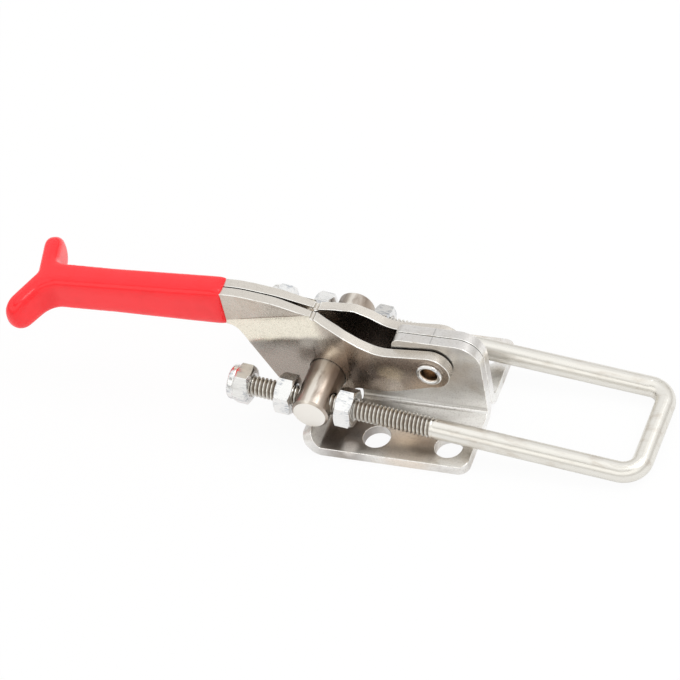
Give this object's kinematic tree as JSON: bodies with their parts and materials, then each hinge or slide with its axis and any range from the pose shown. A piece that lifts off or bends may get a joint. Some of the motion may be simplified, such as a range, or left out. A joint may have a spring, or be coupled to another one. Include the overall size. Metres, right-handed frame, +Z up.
{
  "type": "over centre toggle latch",
  "caption": "Over-centre toggle latch with a plastic-dipped tee handle, a threaded U-bar on a swivelling cross pin, and a two-flange bolt-down base.",
  "frame": {"origin": "centre of the four mounting holes, on the underside of the base", "axes": "+X forward, towards the loop of the U-bar; +Z up, away from the mounting face; the part is a mirror image of itself about the XZ plane, apart from the U-bar and its nuts, which lie 1.6 degrees askew in the loose holes of the pin; pieces named near lie on the -Y side"},
  "size_m": [0.2032, 0.053, 0.0427],
  "materials": {
    "stainless_sheet": "satin",
    "stainless_bar": "satin",
    "bright_steel": "polished",
    "red_vinyl": "gloss",
    "nylon": "matte"
  },
  "bodies": {
    "base": {"base_plate_near": "stainless_sheet", "base_plate_far": "stainless_sheet", "pivot_rivet": "bright_steel"},
    "handle": {"handle_plate_near": "stainless_sheet", "handle_plate_far": "stainless_sheet", "grip_sleeve": "red_vinyl"},
    "trunnion": {"trunnion_pin": "stainless_bar"},
    "hook": {"u_bar": "stainless_bar", "lock_nut_near": "bright_steel", "lock_nut_far": "bright_steel", "lock_nut_insert_near": "nylon", "lock_nut_insert_far": "nylon"},
    "front_nut_near_turning": {"front_nut_near": "bright_steel"},
    "front_nut_far_turning": {"front_nut_far": "bright_steel"},
    "rear_nut_near_turning": {"rear_nut_near": "bright_steel"},
    "rear_nut_far_turning": {"rear_nut_far": "bright_steel"}
  },
  "joints": [
    {"name": "handle_pivot", "type": "hinge", "parent": "base", "child": "handle", "pos_m": [0.0046, 0, 0.022], "axis": [0, 1, 0], "range_deg": [0, 150]},
    {"name": "trunnion_swivel", "type": "hinge", "parent": "handle", "child": "trunnion", "pos_m": [-0.0299, 0, 0.0144], "axis": [0, 1, 0], "range_deg": [-150, 0]},
    {"name": "hook_adjust", "type": "slide", "parent": "trunnion", "child": "hook", "axis": [0.9935, -0.0278, -0.1107], "range_m": [-0.026, 0.0065]},
    {"name": "front_nut_near_turn", "type": "hinge", "parent": "trunnion", "child": "front_nut_near_turning", "pos_m": [-0.01982, -0.01739, 0.01322], "axis": [0.9935, -0.0278, -0.1107], "range_deg": [-2200, 7500]},
    {"name": "front_nut_far_turn", "type": "hinge", "parent": "trunnion", "child": "front_nut_far_turning", "pos_m": [-0.01981, 0.01682, 0.01333], "axis": [0.9935, -0.0278, -0.1107], "range_deg": [-2200, 7500]},
    {"name": "rear_nut_near_turn", "type": "hinge", "parent": "trunnion", "child": "rear_nut_near_turning", "pos_m": [-0.03909, -0.01685, 0.01537], "axis": [0.9935, -0.0278, -0.1107], "range_deg": [-2200, 7500]},
    {"name": "rear_nut_far_turn", "type": "hinge", "parent": "trunnion", "child": "rear_nut_far_turning", "pos_m": [-0.03909, 0.01736, 0.01548], "axis": [0.9935, -0.0278, -0.1107], "range_deg": [-2200, 7500]}
  ],
  "couplings": [
    {"joint": "trunnion_swivel", "follows": "handle_pivot", "ratio": -1},
    {"joint": "front_nut_near_turn", "follows": "hook_adjust", "rad_per_m": -4947.4},
    {"joint": "front_nut_far_turn", "follows": "hook_adjust", "rad_per_m": -4947.4},
    {"joint": "rear_nut_near_turn", "follows": "hook_adjust", "rad_per_m": -4947.4},
    {"joint": "rear_nut_far_turn", "follows": "hook_adjust", "rad_per_m": -4947.4}
  ]
}
